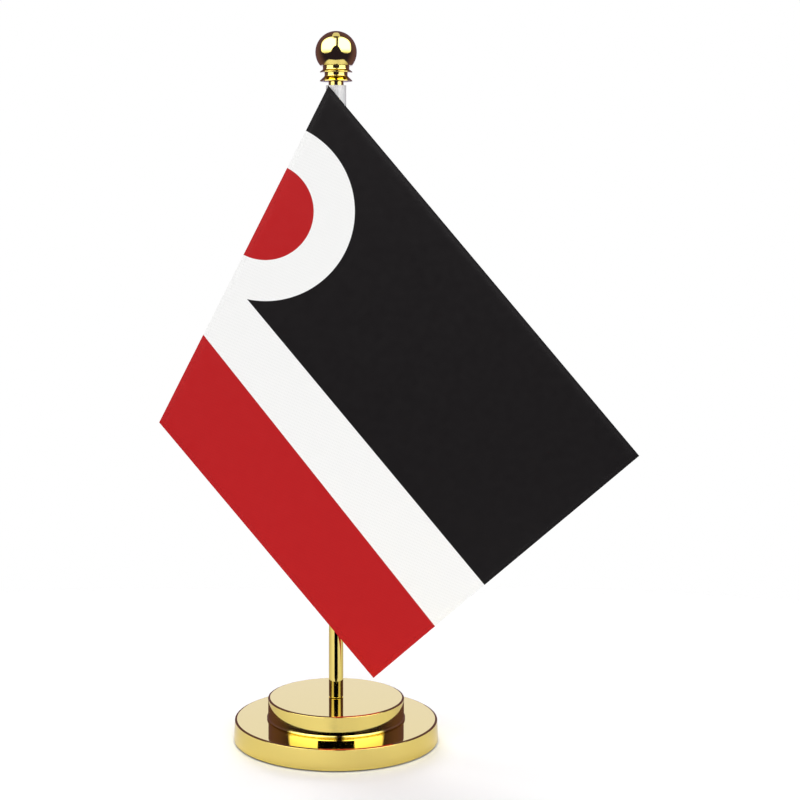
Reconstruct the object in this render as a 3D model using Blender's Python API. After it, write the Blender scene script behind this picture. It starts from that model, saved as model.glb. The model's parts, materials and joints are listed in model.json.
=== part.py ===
"""Desk flag stand: a weighted two-tier base, a screwed-in pole with a ball finial, and a flat satin flag
that turns on the pole. Metres, +Z up. The pole's axis is X = Y = 0 and the table is Z = 0."""

import math

import bmesh
import bpy

# Clearances
GAP = 0.0003  # between pieces that touch on the real object
CLOTH_GAP = 0.0001  # between the flag's flat layers
THREAD_CLEARANCE = 0.00025  # a thread is a plain cylinder in a plain hole
SLEEVE_PLAY = 0.00055  # from the pole to the inside of the sleeve

# Base, lower tier. Its height follows from the pieces stacked inside it.
LOWER_FOOT_RADIUS = 0.04285
LOWER_DRAFT = 0.00045  # how much narrower the cover is at its top
LOWER_FOOT_Z = 0.0005
PAD_MARGIN = 0.00155  # from the cover's inside to the pad's edge
PAD_THICKNESS = 0.0015
PLATE_THICKNESS = 0.0008
SHELL_WALL = 0.0008
SHELL_BEVEL = 0.00045
LOWER_WEB = 0.0012  # iron between the washer and the cover

# Base, upper tier
UPPER_RADIUS = 0.0285
UPPER_HEIGHT = 0.0086
BEAD_RADIUS = 0.00045

# Bush and its fasteners
THREAD_PITCH = 0.0007
THREAD_RADIUS = 0.0020
BUSH_FLANGE_RADIUS = 0.0077
BUSH_FLANGE_THICKNESS = 0.0020
BUSH_SHANK_RADIUS = 0.0040
WASHER_RADIUS = 0.0090
WASHER_THICKNESS = 0.0007
LOCK_WASHER_RADIUS = 0.0070
LOCK_WASHER_THICKNESS = 0.0007
LOCK_WASHER_SLIT = 0.0010
NUT_ACROSS_FLATS = 0.0130
NUT_THICKNESS = 0.0017

# Pole
POLE_RADIUS = 0.0030
POLE_WALL = 0.0006
PLUG_LENGTH = 0.0120
POLE_THREAD_TURNS = 9
CHAMFER = 0.0003

# Flag, seen from the front: its corners are the top, the far, the lowest and the near one
FLAG_CLEARANCE = 0.0094  # from the base's top to the lowest corner
FLAG_TOP_X = -0.0030
FLAG_UPPER_EDGE = 0.19563
FLAG_UPPER_TILT = math.radians(49.61)
FLAG_FLY_EDGE = 0.14311
FLAG_FLY_TILT = math.radians(40.87)
FLAG_LOWER_EDGE = 0.13856
FLAG_LOWER_TILT = math.radians(50.72)
CLOTH_THICKNESS = 0.00025
INTERLINING_THICKNESS = 0.00035
INTERLINING_MARGIN = 0.0030

# Sleeve, pocket and stop ring
SLEEVE_WALL = 0.0005
SLEEVE_LENGTH = 0.1900
SLEEVE_REVEAL = 0.0003  # how far the sleeve stands above the flag's top corner
POCKET_START = 0.0180
POCKET_LENGTH = 0.1650
POCKET_HALF_WIDTH = 0.0080
POCKET_CLOTH = 0.00035
RING_GRIP_GAP = 0.0001  # the real ring is stretched over the pole
RING_HEIGHT = 0.0050
RING_ROUND = 0.0003

# Finial
SLEEVE_HEADROOM = 0.0016  # bare pole between the sleeve and the finial
SOCKET_DEPTH = 0.0009
COLLAR_HEIGHT = 0.0062
FLANGE_RADIUS = 0.0065
FLANGE_LIP = 0.0003
FLANGE_DROOP = 0.0009
LOWER_NECK_RADIUS = 0.0046
UPPER_NECK_RADIUS = 0.0053
UPPER_FLANGE_Z = 0.0035
INSERT_RADIUS = 0.0030
INSERT_HEIGHT = 0.0030
FINIAL_THREAD_TURNS = 4
BALL_RADIUS = 0.0083
BALL_FLAT_RADIUS = 0.0066
BALL_STUD_RADIUS = 0.0015
BALL_STUD_DEPTH = 0.0060

# Smoothness
LARGE_STEPS = 80
SMALL_STEPS = 40
ON_AXIS = 1e-6  # points this near the axis are one point on it

# Heights, from the table upwards
PLATE_Z = PAD_THICKNESS + GAP
LOWER_WEIGHT_Z = PLATE_Z + PLATE_THICKNESS + GAP
NUT_Z = LOWER_WEIGHT_Z
LOCK_WASHER_Z = NUT_Z + NUT_THICKNESS + GAP
WASHER_Z = LOCK_WASHER_Z + LOCK_WASHER_THICKNESS + GAP
LOWER_WEB_Z = WASHER_Z + WASHER_THICKNESS + GAP
LOWER_WEIGHT_TOP = LOWER_WEB_Z + LOWER_WEB
LOWER_TOP = LOWER_WEIGHT_TOP + GAP + SHELL_WALL
UPPER_Z = LOWER_TOP + GAP
UPPER_TOP = UPPER_Z + UPPER_HEIGHT
BUSH_TOP = UPPER_TOP - SHELL_WALL - GAP
POLE_Z = UPPER_TOP + GAP
FLAG_DROP = FLAG_UPPER_EDGE * math.sin(FLAG_UPPER_TILT) + FLAG_FLY_EDGE * math.sin(FLAG_FLY_TILT)
FLAG_TOP = UPPER_TOP + FLAG_CLEARANCE + FLAG_DROP
SLEEVE_TOP = FLAG_TOP + SLEEVE_REVEAL
SLEEVE_Z = SLEEVE_TOP - SLEEVE_LENGTH
RING_Z = SLEEVE_Z - GAP - RING_HEIGHT
COLLAR_Z = SLEEVE_TOP + SLEEVE_HEADROOM
POLE_TOP = COLLAR_Z + SOCKET_DEPTH - GAP
INSERT_Z = COLLAR_Z + SOCKET_DEPTH + GAP
BALL_FLAT_Z = COLLAR_Z + COLLAR_HEIGHT + GAP
BALL_CENTRE = BALL_FLAT_Z + math.sqrt(BALL_RADIUS**2 - BALL_FLAT_RADIUS**2)

# Radii that follow from others
LOWER_TOP_RADIUS = LOWER_FOOT_RADIUS - LOWER_DRAFT
PAD_RADIUS = LOWER_FOOT_RADIUS - SHELL_WALL - PAD_MARGIN
HOLE_FOR_THREAD = THREAD_RADIUS + THREAD_CLEARANCE
HOLE_FOR_SHANK = BUSH_SHANK_RADIUS + GAP
POLE_BORE = POLE_RADIUS - POLE_WALL
SLEEVE_BORE = POLE_RADIUS + SLEEVE_PLAY
SLEEVE_RADIUS = SLEEVE_BORE + SLEEVE_WALL
NUT_CORNER_RADIUS = NUT_ACROSS_FLATS / math.sqrt(3)
RECESS_RADIUS = max(WASHER_RADIUS, LOCK_WASHER_RADIUS, NUT_CORNER_RADIUS) + 2 * GAP

# Depths of the flag's layers, back to front. The flag hangs on the -Y side of the pole.
BACK_CLOTH_Y = -SLEEVE_RADIUS - GAP
INTERLINING_Y = BACK_CLOTH_Y - CLOTH_THICKNESS - CLOTH_GAP
FRONT_CLOTH_Y = INTERLINING_Y - INTERLINING_THICKNESS - CLOTH_GAP


def clear_scene():
    for obj in list(bpy.data.objects):
        bpy.data.objects.remove(obj, do_unlink=True)


def material(name, color, metallic, roughness, alpha=1.0):
    made = bpy.data.materials.new(name)
    made.use_nodes = True
    shader = made.node_tree.nodes["Principled BSDF"]
    shader.inputs["Base Color"].default_value = (*color, 1.0)
    shader.inputs["Metallic"].default_value = metallic
    shader.inputs["Roughness"].default_value = roughness
    shader.inputs["Alpha"].default_value = alpha
    made.diffuse_color = (*color, alpha)
    return made


def joint_frame(name, z, parent=None):
    """An empty on the pole's axis: the origin of one moving group."""
    frame = bpy.data.objects.new(name, None)
    frame.empty_display_size = 0.01
    bpy.context.collection.objects.link(frame)
    frame["height"] = z
    place(frame, z, parent)
    return frame


def place(obj, z, parent):
    """Parents the object and puts its origin on the pole's axis at height z."""
    obj.parent = parent
    obj.location.z = z - (parent["height"] if parent else 0.0)


def solid(name, bm, finish, z, parent):
    """Makes the mesh an object of its own, with its faces out and its round sides smooth."""
    bmesh.ops.recalc_face_normals(bm, faces=bm.faces)
    mesh = bpy.data.meshes.new(name)
    bm.to_mesh(mesh)
    bm.free()
    mesh.shade_smooth()
    mesh.set_sharp_from_angle(angle=math.radians(35))
    mesh.materials.append(finish)
    obj = bpy.data.objects.new(name, mesh)
    bpy.context.collection.objects.link(obj)
    place(obj, z, parent)
    return obj


def arc(centre_r, centre_z, radius, start, end, steps):
    """Points on a round stretch of an outline, from one angle to another, in degrees."""
    angles = [math.radians(start + (end - start) * i / steps) for i in range(steps + 1)]
    return [(centre_r + radius * math.cos(a), centre_z + radius * math.sin(a)) for a in angles]


def turned(name, outline, finish, z, parent, steps=SMALL_STEPS):
    """Turns an outline of (radius, height) points about the pole's axis. One that starts off the axis is closed."""
    bm = bmesh.new()
    points = [bm.verts.new((radius, 0.0, height)) for radius, height in outline]
    edges = [bm.edges.new(pair) for pair in zip(points, points[1:])]
    if outline[0][0] > ON_AXIS:
        edges.append(bm.edges.new((points[-1], points[0])))
    bmesh.ops.spin(
        bm,
        geom=points + edges,
        cent=(0.0, 0.0, 0.0),
        axis=(0.0, 0.0, 1.0),
        angle=2 * math.pi,
        steps=steps,
        use_merge=True,
    )
    bmesh.ops.remove_doubles(bm, verts=bm.verts, dist=ON_AXIS)
    return solid(name, bm, finish, z, parent)


def tube(name, bore, radius, height, finish, z, parent, steps=SMALL_STEPS, chamfer=0.0):
    """A plain ring or tube, with its outer edges chamfered if asked."""
    outline = [(bore, height), (radius - chamfer, height)]
    if chamfer:
        outline += [(radius, height - chamfer), (radius, chamfer)]
    else:
        outline += [(radius, height), (radius, 0.0)]
    outline += [(radius - chamfer, 0.0)] if chamfer else []
    outline += [(bore, 0.0)]
    return turned(name, outline, finish, z, parent, steps)


def extruded(name, outline, depth, finish, z, parent):
    """Extrudes an outline of 3-D points along the depth vector."""
    bm = bmesh.new()
    face = bm.faces.new([bm.verts.new(point) for point in outline])
    made = bmesh.ops.extrude_face_region(bm, geom=[face])
    moved = [item for item in made["geom"] if isinstance(item, bmesh.types.BMVert)]
    bmesh.ops.translate(bm, verts=moved, vec=depth)
    return solid(name, bm, finish, z, parent)


def cut(target, cutter):
    """Takes the cutter's shape out of the target, and hides the cutter."""
    cutter.hide_render = True
    cutter.display_type = "WIRE"
    boolean = target.modifiers.new("cut", "BOOLEAN")
    boolean.operation = "DIFFERENCE"
    boolean.solver = "EXACT"
    boolean.object = cutter


def flag_corners(margin=0.0):
    """The flag's four corners in its own plane, as (x, height below its top corner), moved in by the margin."""
    top = (FLAG_TOP_X, 0.0)
    far = (
        top[0] + FLAG_UPPER_EDGE * math.cos(FLAG_UPPER_TILT),
        top[1] - FLAG_UPPER_EDGE * math.sin(FLAG_UPPER_TILT),
    )
    lowest = (
        far[0] - FLAG_FLY_EDGE * math.cos(FLAG_FLY_TILT),
        far[1] - FLAG_FLY_EDGE * math.sin(FLAG_FLY_TILT),
    )
    near = (
        lowest[0] - FLAG_LOWER_EDGE * math.cos(FLAG_LOWER_TILT),
        lowest[1] + FLAG_LOWER_EDGE * math.sin(FLAG_LOWER_TILT),
    )
    corners = [top, far, lowest, near]
    return [inset_corner(corners, i, margin) for i in range(4)] if margin else corners


def inset_corner(corners, i, margin):
    """The corner moved in, so that both edges that meet there move in by the margin."""
    here, before, after = corners[i], corners[i - 1], corners[(i + 1) % 4]
    to_before = unit(here, before)
    to_after = unit(here, after)
    sine = abs(to_before[0] * to_after[1] - to_before[1] * to_after[0])
    return tuple(here[k] + (to_before[k] + to_after[k]) * margin / sine for k in range(2))


def unit(start, end):
    length = math.hypot(end[0] - start[0], end[1] - start[1])
    return ((end[0] - start[0]) / length, (end[1] - start[1]) / length)


def make_lower_tier(frame, gold, steel, iron, rubber):
    pad = [(0.0, PAD_THICKNESS), (PAD_RADIUS, PAD_THICKNESS), (PAD_RADIUS, 0.0), (0.0, 0.0)]
    turned("anti_slip_pad", pad, rubber, 0.0, frame, LARGE_STEPS)

    inner_radius = LOWER_TOP_RADIUS - SHELL_WALL - GAP
    plate = [(0.0, PLATE_THICKNESS), (inner_radius, PLATE_THICKNESS), (inner_radius, 0.0), (0.0, 0.0)]
    turned("bottom_plate", plate, steel, PLATE_Z, frame, LARGE_STEPS)

    height = LOWER_TOP - LOWER_FOOT_Z
    shell = [
        (HOLE_FOR_SHANK, height),
        (LOWER_TOP_RADIUS - SHELL_BEVEL, height),
        (LOWER_TOP_RADIUS, height - SHELL_BEVEL),
        (LOWER_FOOT_RADIUS, 0.0),
        (LOWER_FOOT_RADIUS - SHELL_WALL, 0.0),
        (LOWER_TOP_RADIUS - SHELL_WALL, height - SHELL_WALL),
        (HOLE_FOR_SHANK, height - SHELL_WALL),
    ]
    turned("lower_tier_shell", shell, gold, LOWER_FOOT_Z, frame, LARGE_STEPS)

    thickness = LOWER_WEIGHT_TOP - LOWER_WEIGHT_Z
    web = LOWER_WEB_Z - LOWER_WEIGHT_Z
    weight = [
        (HOLE_FOR_SHANK, thickness),
        (inner_radius, thickness),
        (inner_radius, 0.0),
        (RECESS_RADIUS, 0.0),
        (RECESS_RADIUS, web),
        (HOLE_FOR_SHANK, web),
    ]
    turned("lower_weight", weight, iron, LOWER_WEIGHT_Z, frame, LARGE_STEPS)


def make_upper_tier(frame, gold, iron):
    bead = arc(UPPER_RADIUS, BEAD_RADIUS, BEAD_RADIUS, 90, -90, 6)
    shell = [
        (HOLE_FOR_THREAD, UPPER_HEIGHT),
        (UPPER_RADIUS - SHELL_BEVEL, UPPER_HEIGHT),
        (UPPER_RADIUS, UPPER_HEIGHT - SHELL_BEVEL),
        *bead,
        (UPPER_RADIUS - SHELL_WALL, 0.0),
        (UPPER_RADIUS - SHELL_WALL, UPPER_HEIGHT - SHELL_WALL),
        (HOLE_FOR_THREAD, UPPER_HEIGHT - SHELL_WALL),
    ]
    turned("upper_tier_shell", shell, gold, UPPER_Z, frame, LARGE_STEPS)

    thickness = BUSH_TOP - UPPER_Z
    seat = thickness - BUSH_FLANGE_THICKNESS - GAP
    weight_radius = UPPER_RADIUS - SHELL_WALL - GAP
    weight = [
        (BUSH_FLANGE_RADIUS + GAP, thickness),
        (weight_radius, thickness),
        (weight_radius, 0.0),
        (HOLE_FOR_SHANK, 0.0),
        (HOLE_FOR_SHANK, seat),
        (BUSH_FLANGE_RADIUS + GAP, seat),
    ]
    turned("upper_weight", weight, iron, UPPER_Z, frame, LARGE_STEPS)


def make_clamp(frame, steel):
    """The bush through both tiers, and the washers and nut that pull it down."""
    length = BUSH_TOP - NUT_Z
    bush = [
        (HOLE_FOR_THREAD, length),
        (BUSH_FLANGE_RADIUS - CHAMFER, length),
        (BUSH_FLANGE_RADIUS, length - CHAMFER),
        (BUSH_FLANGE_RADIUS, length - BUSH_FLANGE_THICKNESS),
        (BUSH_SHANK_RADIUS, length - BUSH_FLANGE_THICKNESS),
        (BUSH_SHANK_RADIUS, CHAMFER),
        (BUSH_SHANK_RADIUS - CHAMFER, 0.0),
        (HOLE_FOR_THREAD, 0.0),
    ]
    turned("centre_bush", bush, steel, NUT_Z, frame)
    tube("clamp_washer", HOLE_FOR_SHANK, WASHER_RADIUS, WASHER_THICKNESS, steel, WASHER_Z, frame)

    lock = tube(
        "lock_washer", HOLE_FOR_SHANK, LOCK_WASHER_RADIUS, LOCK_WASHER_THICKNESS, steel, LOCK_WASHER_Z, frame
    )
    slit_length = LOCK_WASHER_RADIUS + GAP
    half = LOCK_WASHER_SLIT / 2
    slit = [(0.0, -half, -GAP), (slit_length, -half, -GAP), (slit_length, half, -GAP), (0.0, half, -GAP)]
    slit_depth = (0.0, 0.0, LOCK_WASHER_THICKNESS + 2 * GAP)
    cut(lock, extruded("lock_washer_slit", slit, slit_depth, steel, LOCK_WASHER_Z, frame))

    corners = [math.radians(60 * i) for i in range(6)]
    hexagon = [(NUT_CORNER_RADIUS * math.cos(a), NUT_CORNER_RADIUS * math.sin(a), 0.0) for a in corners]
    nut = extruded("clamp_nut", hexagon, (0.0, 0.0, NUT_THICKNESS), steel, NUT_Z, frame)
    hole = [(0.0, NUT_THICKNESS + GAP), (HOLE_FOR_SHANK, NUT_THICKNESS + GAP), (HOLE_FOR_SHANK, -GAP), (0.0, -GAP)]
    cut(nut, turned("clamp_nut_hole", hole, steel, NUT_Z, frame))


def threaded_stud(name, reach, plug_length, finish, z, parent, upwards=False):
    """A stud whose plug sits in the pole and whose thread reaches out of it. Its origin is at the pole's end."""
    plug_radius = POLE_BORE - GAP
    outline = [
        (0.0, plug_length),
        (plug_radius - CHAMFER, plug_length),
        (plug_radius, plug_length - CHAMFER),
        (plug_radius, 0.0),
        (THREAD_RADIUS, 0.0),
        (THREAD_RADIUS, CHAMFER - reach),
        (THREAD_RADIUS - CHAMFER, -reach),
        (0.0, -reach),
    ]
    if upwards:
        outline = [(radius, -height) for radius, height in outline]
    return turned(name, outline, finish, z, parent)


def make_pole(foot_frame, pole_frame, gold, steel):
    bottom_reach = POLE_Z - BUSH_TOP + POLE_THREAD_TURNS * THREAD_PITCH
    threaded_stud("pole_bottom_stud", bottom_reach, PLUG_LENGTH, steel, POLE_Z, foot_frame)
    tube("pole_tube", POLE_BORE, POLE_RADIUS, POLE_TOP - POLE_Z, gold, POLE_Z, pole_frame)
    top_reach = INSERT_Z - POLE_TOP + FINIAL_THREAD_TURNS * THREAD_PITCH
    threaded_stud("pole_top_stud", top_reach, PLUG_LENGTH, steel, POLE_TOP, pole_frame, upwards=True)


def make_finial(core_frame, finial_frame, gold, steel):
    tube(
        "finial_insert", HOLE_FOR_THREAD, INSERT_RADIUS, INSERT_HEIGHT, steel, INSERT_Z, core_frame, chamfer=CHAMFER
    )

    insert_bore = INSERT_RADIUS + GAP
    insert_roof = SOCKET_DEPTH + GAP + INSERT_HEIGHT + GAP
    stud_bore = BALL_STUD_RADIUS + GAP
    lower_tip = FLANGE_LIP
    upper_tip = UPPER_FLANGE_Z + FLANGE_LIP
    collar = [
        (stud_bore, COLLAR_HEIGHT),
        (UPPER_NECK_RADIUS, COLLAR_HEIGHT),
        (UPPER_NECK_RADIUS, upper_tip + FLANGE_DROOP),
        (FLANGE_RADIUS, upper_tip),
        (FLANGE_RADIUS, UPPER_FLANGE_Z),
        (LOWER_NECK_RADIUS, UPPER_FLANGE_Z + FLANGE_LIP),
        (LOWER_NECK_RADIUS, lower_tip + 2 * FLANGE_DROOP),
        (FLANGE_RADIUS, lower_tip),
        (FLANGE_RADIUS, 0.0),
        (POLE_RADIUS + GAP, 0.0),
        (POLE_RADIUS + GAP, SOCKET_DEPTH),
        (insert_bore, SOCKET_DEPTH),
        (insert_bore, insert_roof),
        (stud_bore, insert_roof),
    ]
    turned("finial_collar", collar, gold, COLLAR_Z, finial_frame)

    flat_height = BALL_FLAT_Z - BALL_CENTRE
    flat_angle = math.degrees(math.asin(flat_height / BALL_RADIUS))
    hole_roof = flat_height + BALL_STUD_DEPTH
    ball = [
        *arc(0.0, 0.0, BALL_RADIUS, 90, flat_angle, 16),
        (stud_bore, flat_height),
        (stud_bore, hole_roof),
        (0.0, hole_roof),
    ]
    turned("finial_ball", ball, gold, BALL_CENTRE, finial_frame)

    stud_z = COLLAR_Z + insert_roof
    stud_top = BALL_CENTRE + hole_roof - GAP - stud_z
    stud = [
        (0.0, stud_top),
        (BALL_STUD_RADIUS - CHAMFER, stud_top),
        (BALL_STUD_RADIUS, stud_top - CHAMFER),
        (BALL_STUD_RADIUS, CHAMFER),
        (BALL_STUD_RADIUS - CHAMFER, 0.0),
        (0.0, 0.0),
    ]
    turned("ball_stud", stud, steel, stud_z, finial_frame)


def make_flag(ring_frame, flag_frame, satin, lining, plastic, rubber):
    ring_bore = POLE_RADIUS + RING_GRIP_GAP
    tube("stop_ring", ring_bore, SLEEVE_RADIUS, RING_HEIGHT, rubber, RING_Z, ring_frame, chamfer=RING_ROUND)
    tube("clear_sleeve", SLEEVE_BORE, SLEEVE_RADIUS, SLEEVE_LENGTH, plastic, SLEEVE_Z, flag_frame)

    layers = (
        ("flag_back_cloth", BACK_CLOTH_Y, CLOTH_THICKNESS, satin, 0.0),
        ("flag_interlining", INTERLINING_Y, INTERLINING_THICKNESS, lining, INTERLINING_MARGIN),
        ("flag_front_cloth", FRONT_CLOTH_Y, CLOTH_THICKNESS, satin, 0.0),
    )
    for name, back, thickness, finish, margin in layers:
        outline = [(x, back, drop) for x, drop in flag_corners(margin)]
        extruded(name, outline, (0.0, -thickness, 0.0), finish, FLAG_TOP, flag_frame)

    # The pocket's section: a wing on each side, flat on the back cloth, and an arch round the sleeve.
    wing_front = BACK_CLOTH_Y + CLOTH_GAP
    wing_back = wing_front + POCKET_CLOTH
    inside = SLEEVE_RADIUS + GAP
    outside = inside + POCKET_CLOTH
    section = [
        (POCKET_HALF_WIDTH, wing_front),
        (POCKET_HALF_WIDTH, wing_back),
        (outside, wing_back),
        *arc(0.0, 0.0, outside, 0, 180, 16),
        (-outside, wing_back),
        (-POCKET_HALF_WIDTH, wing_back),
        (-POCKET_HALF_WIDTH, wing_front),
        (-inside, wing_front),
        *arc(0.0, 0.0, inside, 180, 0, 16),
        (inside, wing_front),
    ]
    pocket_top = SLEEVE_TOP - POCKET_START
    outline = [(x, y, 0.0) for x, y in section]
    extruded("sleeve_pocket", outline, (0.0, 0.0, -POCKET_LENGTH), satin, pocket_top, flag_frame)


def main():
    clear_scene()
    gold = material("gold_plate", (0.83, 0.62, 0.22), 1.0, 0.08)
    steel = material("zinc_plated_steel", (0.55, 0.55, 0.55), 1.0, 0.35)
    iron = material("cast_iron", (0.09, 0.09, 0.09), 0.8, 0.6)
    rubber = material("black_rubber", (0.02, 0.02, 0.02), 0.0, 0.8)
    plastic = material("clear_plastic", (0.9, 0.9, 0.9), 0.0, 0.15, alpha=0.4)
    satin = material("printed_satin", (0.02, 0.015, 0.016), 0.0, 0.5)
    lining = material("interlining", (0.8, 0.8, 0.78), 0.0, 0.9)

    base_frame = joint_frame("base_frame", 0.0)
    foot_frame = joint_frame("pole_foot_frame", POLE_Z, base_frame)
    pole_frame = joint_frame("pole_frame", POLE_Z, foot_frame)
    core_frame = joint_frame("finial_core_frame", COLLAR_Z, pole_frame)
    finial_frame = joint_frame("finial_frame", COLLAR_Z, core_frame)
    ring_frame = joint_frame("stop_ring_frame", RING_Z, pole_frame)
    flag_frame = joint_frame("flag_frame", SLEEVE_Z, ring_frame)

    make_lower_tier(base_frame, gold, steel, iron, rubber)
    make_upper_tier(base_frame, gold, iron)
    make_clamp(base_frame, steel)
    make_pole(foot_frame, pole_frame, gold, steel)
    make_finial(core_frame, finial_frame, gold, steel)
    make_flag(ring_frame, flag_frame, satin, lining, plastic, rubber)


main()
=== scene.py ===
import json
import math

import bmesh
import bpy
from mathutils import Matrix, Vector


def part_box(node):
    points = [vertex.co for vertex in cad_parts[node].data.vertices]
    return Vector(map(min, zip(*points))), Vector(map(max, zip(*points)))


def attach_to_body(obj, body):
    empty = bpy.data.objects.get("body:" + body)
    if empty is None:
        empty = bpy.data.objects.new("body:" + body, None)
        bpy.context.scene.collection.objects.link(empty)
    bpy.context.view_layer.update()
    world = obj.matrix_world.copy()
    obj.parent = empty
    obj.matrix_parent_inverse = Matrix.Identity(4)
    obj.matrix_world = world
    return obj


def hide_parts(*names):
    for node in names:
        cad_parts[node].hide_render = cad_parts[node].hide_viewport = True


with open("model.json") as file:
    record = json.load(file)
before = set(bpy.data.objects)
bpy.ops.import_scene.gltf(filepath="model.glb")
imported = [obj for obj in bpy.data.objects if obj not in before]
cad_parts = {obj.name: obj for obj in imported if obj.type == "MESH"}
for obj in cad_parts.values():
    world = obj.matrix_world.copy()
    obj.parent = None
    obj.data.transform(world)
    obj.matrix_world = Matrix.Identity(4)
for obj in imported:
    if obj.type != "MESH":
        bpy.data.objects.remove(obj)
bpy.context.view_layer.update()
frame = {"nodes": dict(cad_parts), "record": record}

mm = 0.001
cadGap = 0.3 * mm   # the CAD keeps this between pieces that touch
snug = 0.05 * mm    # and the pieces drawn here keep this
bodyOf = {}
for bodyName, members in frame["record"]["behaviour"]["bodies"].items():
    for member in members:
        bodyOf[member] = bodyName
print("frame loaded:", len(bodyOf), "nodes")


def toLinear(hexColour):
    # sRGB hex to the linear values that shaders take
    parts = [int(hexColour[i:i + 2], 16) / 255 for i in (1, 3, 5)]
    straight = [c / 12.92 if c <= 0.04045 else ((c + 0.055) / 1.055) ** 2.4 for c in parts]
    return (*straight, 1.0)


def feed(tree, node, inputs):
    # sets each input, or links it where the value is another node's output
    for name, value in inputs.items():
        if isinstance(value, bpy.types.NodeSocket):
            tree.links.new(value, node.inputs[name])
        else:
            node.inputs[name].default_value = value


def addNode(tree, kind, inputs, out=0, **settings):
    # gives back the output that is used next, or all of them when out is None
    made = tree.nodes.new("ShaderNode" + kind)
    for name, value in settings.items():
        setattr(made, name, value)
    feed(tree, made, inputs)
    return made.outputs if out is None else made.outputs[out]


def newMaterial(name, values):
    # a material with these values on its one Principled shader, and the place on the object
    made = bpy.data.materials.new(name)
    made.use_nodes = True
    tree = made.node_tree
    shader = tree.nodes["Principled BSDF"]
    feed(tree, shader, values)
    return made, tree, shader, addNode(tree, "TexCoord", {}, "Object")


def smooth(share):
    # eases a share that is kept between 0 and 1
    share = min(1.0, max(0.0, share))
    return share * share * (3 - 2 * share)


def spanOf(node):
    # bottom height, top height and outer radius of a round CAD node on the pole's axis
    low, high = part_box(node)
    return low.z, high.z, max(high.x, high.y)


def cornersOf(node):
    # a flat CAD layer's corners in the order top, far, lowest, near
    points = [vertex.co for vertex in frame["nodes"][node].data.vertices]
    chosen = (max(points, key=lambda p: p.z), max(points, key=lambda p: p.x),
              min(points, key=lambda p: p.z), min(points, key=lambda p: p.x))
    return [Vector((p.x, 0.0, p.z)) for p in chosen]


def rounded(corners, steps=6):
    # corners are (radius, height, rounding); each rounding becomes an arc with a close support point
    # on either side of it, so that flat faces stay flat when they are shaded smooth
    points = []
    for i, (radius, height, rounding) in enumerate(corners):
        here = Vector((radius, height))
        if not rounding:
            points.append((radius, height))
            continue
        toBefore = (Vector(corners[i - 1][:2]) - here).normalized()
        toAfter = (Vector(corners[(i + 1) % len(corners)][:2]) - here).normalized()
        half = toBefore.angle(toAfter) / 2
        reach = rounding / math.tan(half)
        centre = here + (toBefore + toAfter).normalized() * rounding / math.sin(half)
        start = here + toBefore * reach - centre
        end = here + toAfter * reach - centre
        first = math.atan2(start.y, start.x)
        turn = (math.atan2(end.y, end.x) - first + math.pi) % (2 * math.pi) - math.pi
        points.append(tuple(here + toBefore * reach * 1.25))
        for k in range(steps + 1):
            angle = first + turn * k / steps
            points.append((centre.x + rounding * math.cos(angle), centre.y + rounding * math.sin(angle)))
        points.append(tuple(here + toAfter * reach * 1.25))
    return points


def plainOutline(node, bore, rounding, steps):
    # a plain disc or ring with its edges rounded alike
    low, high, radius = spanOf(node)
    inner = rounding if bore else 0.0
    corners = [(bore, high, inner), (radius, high, rounding), (radius, low, rounding), (bore, low, inner)]
    return rounded(corners, steps)


def arcOf(centreR, centreZ, radius, start, end, steps):
    # points on a round stretch of an outline, angles in degrees
    angles = [math.radians(start + (end - start) * k / steps) for k in range(steps + 1)]
    return [(centreR + radius * math.cos(a), centreZ + radius * math.sin(a)) for a in angles]


def ringOf(bm, radius, z, sides):
    # a level ring round the axis, or one point over and over when it lies on the axis
    if radius < 1e-7:
        return [bm.verts.new((0, 0, z))] * sides
    angles = [2 * math.pi * k / sides for k in range(sides)]
    return [bm.verts.new((radius * math.cos(a), radius * math.sin(a), z)) for a in angles]


def bridge(bm, rows, closed=False, around=True):
    # faces from each row of points to the next; around joins each row's own ends,
    # and closed joins the last row to the first
    pairs = list(zip(rows, rows[1:]))
    if closed:
        pairs.append((rows[-1], rows[0]))
    for lower, upper in pairs:
        for k in range(len(lower) if around else len(lower) - 1):
            j = (k + 1) % len(lower)
            corners = list(dict.fromkeys([lower[k], lower[j], upper[j], upper[k]]))
            if len(corners) > 2:
                bm.faces.new(corners)


def closeSheet(bm, first, second):
    # two grids of points, one over the other, become a closed sheet
    rims = []
    for rows in (first, second):
        bridge(bm, rows, around=False)
        sides = [row[-1] for row in rows[1:]], [row[0] for row in rows[-2:0:-1]]
        rims.append(rows[0] + sides[0] + rows[-1][-2::-1] + sides[1])
    bridge(bm, rims)


def meshObject(name, bm, sharpAngle=38):
    bmesh.ops.recalc_face_normals(bm, faces=bm.faces)
    mesh = bpy.data.meshes.new(name)
    bm.to_mesh(mesh)
    bm.free()
    mesh.shade_smooth()
    mesh.set_sharp_from_angle(angle=math.radians(sharpAngle))
    made = bpy.data.objects.new(name, mesh)
    bpy.context.scene.collection.objects.link(made)
    return made


def attach(piece, finish, body):
    # a finish is a material and its slot
    piece.data.materials.append(finish[0])
    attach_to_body(piece, body)
    return piece


def install(piece, finish, node):
    # a piece that stands for a CAD node rides with it and hides it
    attach(piece, finish, bodyOf[node])
    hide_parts(node)
    return piece


def turnPiece(name, node, finish, outline, sides=128):
    # turns an outline of (radius, height) about the pole's axis; one that starts on the axis ends on it
    kept = [outline[0]]
    for point in outline[1:]:
        if math.dist(point, kept[-1]) > 0.002 * mm:
            kept.append(point)
    bm = bmesh.new()
    bridge(bm, [ringOf(bm, r, z, sides) for r, z in kept], closed=kept[0][0] > 1e-7)
    return install(meshObject(name, bm), finish, node)


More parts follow.
